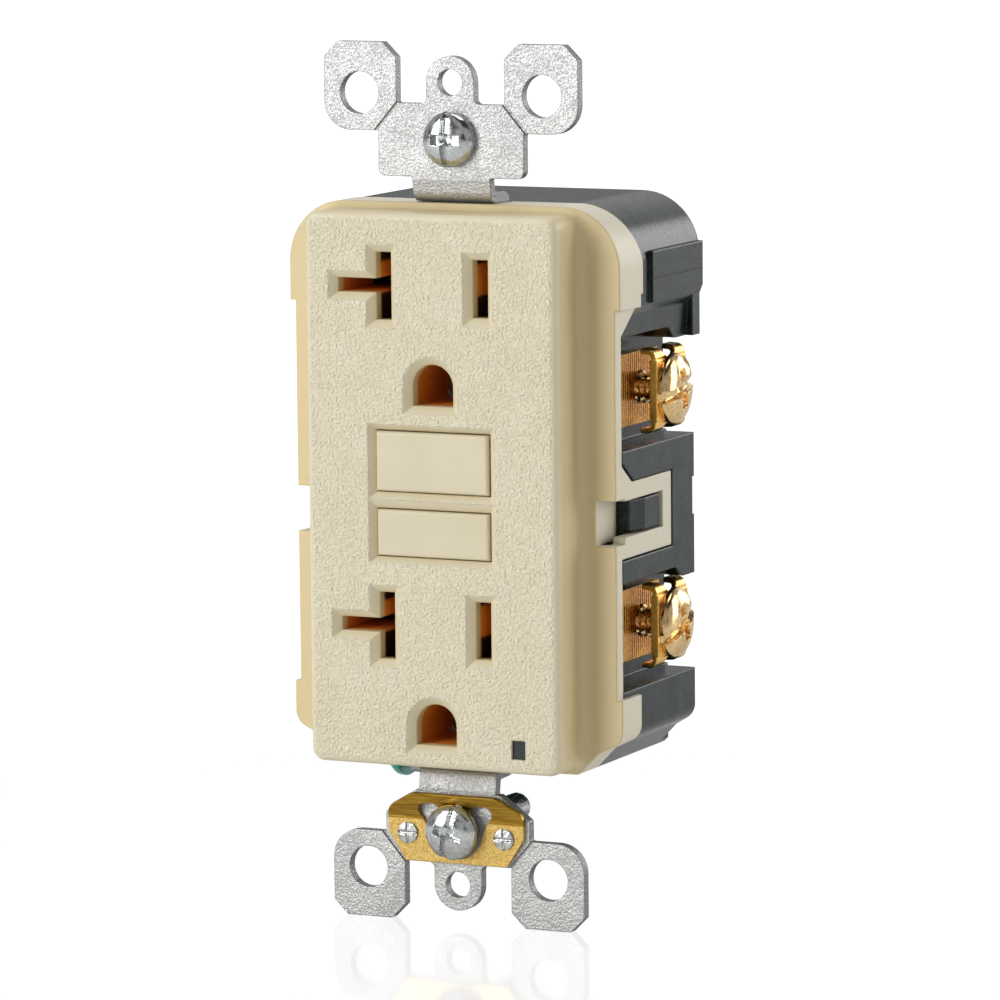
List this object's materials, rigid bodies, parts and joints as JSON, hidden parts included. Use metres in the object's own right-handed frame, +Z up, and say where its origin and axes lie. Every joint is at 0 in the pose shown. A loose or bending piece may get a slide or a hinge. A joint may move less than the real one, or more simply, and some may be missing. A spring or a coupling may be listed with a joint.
{
  "type": "ground-fault duplex receptacle",
  "caption": "Wall receptacle with two grounded blade outlets, reset and test keys, side wiring screws and a steel mounting strap.",
  "frame": {"origin": "back of the mounting ears, midway between the two box screws", "axes": "+Z up along the strap, -Y out through the face, +X to the right seen from the front"},
  "size_m": [0.046, 0.0319, 0.1062],
  "materials": {
    "ivory_nylon": "fine moulded grain",
    "ivory_key": "smooth satin",
    "black_nylon": "semi-gloss glass-filled nylon",
    "zinc_steel": "speckled zinc plate",
    "clip_brass": "rolled brass",
    "contact_copper": "copper alloy",
    "screw_brass": "bright brass plate",
    "silver_screw": "bright nickel plate",
    "bright_zinc": "bright zinc plate",
    "green_screw_paint": "teal-green dip paint",
    "spring_steel": "drawn steel",
    "smoked_lens": "dark clear plastic",
    "clear_epoxy": "clear epoxy",
    "grey_nylon": "moulded nylon",
    "white_plastic": "moulded plastic",
    "enamelled_wire": "enamelled copper wire",
    "core_iron": "coated ring core",
    "green_board": "solder mask",
    "blue_epoxy": "dipped epoxy",
    "yellow_film": "moulded box",
    "chip_black": "moulded epoxy",
    "resistor_beige": "lacquered ceramic"
  },
  "bodies": {
    "receptacle": {"face_cover": "ivory_nylon", "rear_housing": "black_nylon", "mounting_strap": "zinc_steel", "ground_clip": "clip_brass", "clip_rivets": "zinc_steel", "indicator_lens": "smoked_lens", "indicator_led": "clear_epoxy", "contact_tray": "grey_nylon", "hot_face_contact": "contact_copper", "neutral_face_contact": "contact_copper", "hot_line_terminal": "contact_copper", "neutral_line_terminal": "contact_copper", "ground_contact_upper": "contact_copper", "ground_contact_lower": "contact_copper", "coil_bobbin": "white_plastic", "coil_winding": "enamelled_wire", "core_carrier": "white_plastic", "sense_core": "core_iron", "sense_winding": "enamelled_wire", "neutral_core": "core_iron", "neutral_winding": "enamelled_wire", "circuit_board": "green_board", "surge_varistor": "blue_epoxy", "film_capacitor": "yellow_film", "control_chip": "chip_black", "resistors": "resistor_beige", "assembly_screws": "zinc_steel", "reset_spring": "spring_steel"},
    "reset_key": {"reset_button": "ivory_key", "reset_pin": "spring_steel"},
    "test_key": {"test_button": "ivory_key"},
    "test_strip": {"test_contact": "contact_copper"},
    "top_screw": {"top_mounting_screw": "bright_zinc"},
    "bottom_screw": {"bottom_mounting_screw": "bright_zinc"},
    "ground_terminal_screw": {"ground_screw": "green_screw_paint"},
    "latch": {"latch_plate": "spring_steel"},
    "plunger": {"trip_plunger": "spring_steel"},
    "carriage": {"contact_carriage": "white_plastic"},
    "hot_arm": {"hot_contact_arm": "contact_copper"},
    "neutral_arm": {"neutral_contact_arm": "contact_copper"},
    "hot_load_plate": {"hot_load_clamp": "screw_brass"},
    "hot_load_turner": {"hot_load_screw": "screw_brass"},
    "hot_line_plate": {"hot_line_clamp": "screw_brass"},
    "hot_line_turner": {"hot_line_screw": "screw_brass"},
    "neutral_load_plate": {"neutral_load_clamp": "silver_screw"},
    "neutral_load_turner": {"neutral_load_screw": "silver_screw"},
    "neutral_line_plate": {"neutral_line_clamp": "silver_screw"},
    "neutral_line_turner": {"neutral_line_screw": "silver_screw"}
  },
  "joints": [
    {"name": "reset_press", "type": "slide", "parent": "receptacle", "child": "reset_key", "axis": [0, 1, 0], "range_m": [-0.0007, 0.001], "stiffness_N_per_m": 400, "springref_m": -0.0007, "deforming": ["reset_spring"]},
    {"name": "test_press", "type": "slide", "parent": "receptacle", "child": "test_key", "axis": [0, 1, 0], "range_m": [0, 0.001], "stiffness_N_per_m": 500},
    {"name": "test_strip_flex", "type": "hinge", "parent": "receptacle", "child": "test_strip", "pos_m": [-0.006, 0.01327, -0.0132], "axis": [-1, 0, 0], "range_deg": [0, 8]},
    {"name": "top_screw_turn", "type": "hinge", "parent": "receptacle", "child": "top_screw", "pos_m": [0, 0, 0.04167], "axis": [0, -1, 0], "continuous": true},
    {"name": "bottom_screw_turn", "type": "hinge", "parent": "receptacle", "child": "bottom_screw", "pos_m": [0, 0, -0.04167], "axis": [0, -1, 0], "continuous": true},
    {"name": "ground_screw_turn", "type": "hinge", "parent": "receptacle", "child": "ground_terminal_screw", "pos_m": [-0.0103, 0.007, -0.0327], "axis": [-1, 0, 0], "continuous": true},
    {"name": "plunger_strike", "type": "slide", "parent": "receptacle", "child": "plunger", "axis": [0, 0, 1], "range_m": [0, 0.0012], "stiffness_N_per_m": 150},
    {"name": "latch_release", "type": "slide", "parent": "receptacle", "child": "latch", "axis": [0, 0, 1], "range_m": [0, 0.0012]},
    {"name": "carriage_travel", "type": "slide", "parent": "receptacle", "child": "carriage", "axis": [0, 1, 0], "range_m": [0, 0.0015]},
    {"name": "hot_arm_open", "type": "hinge", "parent": "receptacle", "child": "hot_arm", "pos_m": [0.01, 0.01385, -0.012], "axis": [-1, 0, 0], "range_deg": [0, 4.52]},
    {"name": "neutral_arm_open", "type": "hinge", "parent": "receptacle", "child": "neutral_arm", "pos_m": [-0.01, 0.01385, -0.012], "axis": [-1, 0, 0], "range_deg": [0, 4.52]},
    {"name": "hot_load_clamp_travel", "type": "slide", "parent": "receptacle", "child": "hot_load_plate", "axis": [1, 0, 0], "range_m": [-0.0022, 0]},
    {"name": "hot_load_screw_turn", "type": "hinge", "parent": "hot_load_plate", "child": "hot_load_turner", "pos_m": [0.0212, 0.0154, 0.011], "axis": [1, 0, 0], "range_deg": [-997.47, 0]},
    {"name": "hot_line_clamp_travel", "type": "slide", "parent": "receptacle", "child": "hot_line_plate", "axis": [1, 0, 0], "range_m": [-0.0022, 0]},
    {"name": "hot_line_screw_turn", "type": "hinge", "parent": "hot_line_plate", "child": "hot_line_turner", "pos_m": [0.0212, 0.0154, -0.0175], "axis": [1, 0, 0], "range_deg": [-997.47, 0]},
    {"name": "neutral_load_clamp_travel", "type": "slide", "parent": "receptacle", "child": "neutral_load_plate", "axis": [-1, 0, 0], "range_m": [-0.0022, 0]},
    {"name": "neutral_load_screw_turn", "type": "hinge", "parent": "neutral_load_plate", "child": "neutral_load_turner", "pos_m": [-0.0212, 0.0154, 0.011], "axis": [-1, 0, 0], "range_deg": [-997.47, 0]},
    {"name": "neutral_line_clamp_travel", "type": "slide", "parent": "receptacle", "child": "neutral_line_plate", "axis": [-1, 0, 0], "range_m": [-0.0022, 0]},
    {"name": "neutral_line_screw_turn", "type": "hinge", "parent": "neutral_line_plate", "child": "neutral_line_turner", "pos_m": [-0.0212, 0.0154, -0.0175], "axis": [-1, 0, 0], "range_deg": [-997.47, 0]}
  ],
  "couplings": [
    {"joint": "latch_release", "follows": "plunger_strike", "ratio": 1},
    {"joint": "hot_arm_open", "follows": "carriage_travel", "rad_per_m": 52},
    {"joint": "neutral_arm_open", "follows": "carriage_travel", "rad_per_m": 52},
    {"joint": "test_strip_flex", "follows": "test_press", "rad_per_m": 137},
    {"joint": "hot_load_clamp_travel", "follows": "hot_load_screw_turn", "m_per_rad": 0.00012637},
    {"joint": "hot_line_clamp_travel", "follows": "hot_line_screw_turn", "m_per_rad": 0.00012637},
    {"joint": "neutral_load_clamp_travel", "follows": "neutral_load_screw_turn", "m_per_rad": 0.00012637},
    {"joint": "neutral_line_clamp_travel", "follows": "neutral_line_screw_turn", "m_per_rad": 0.00012637}
  ]
}
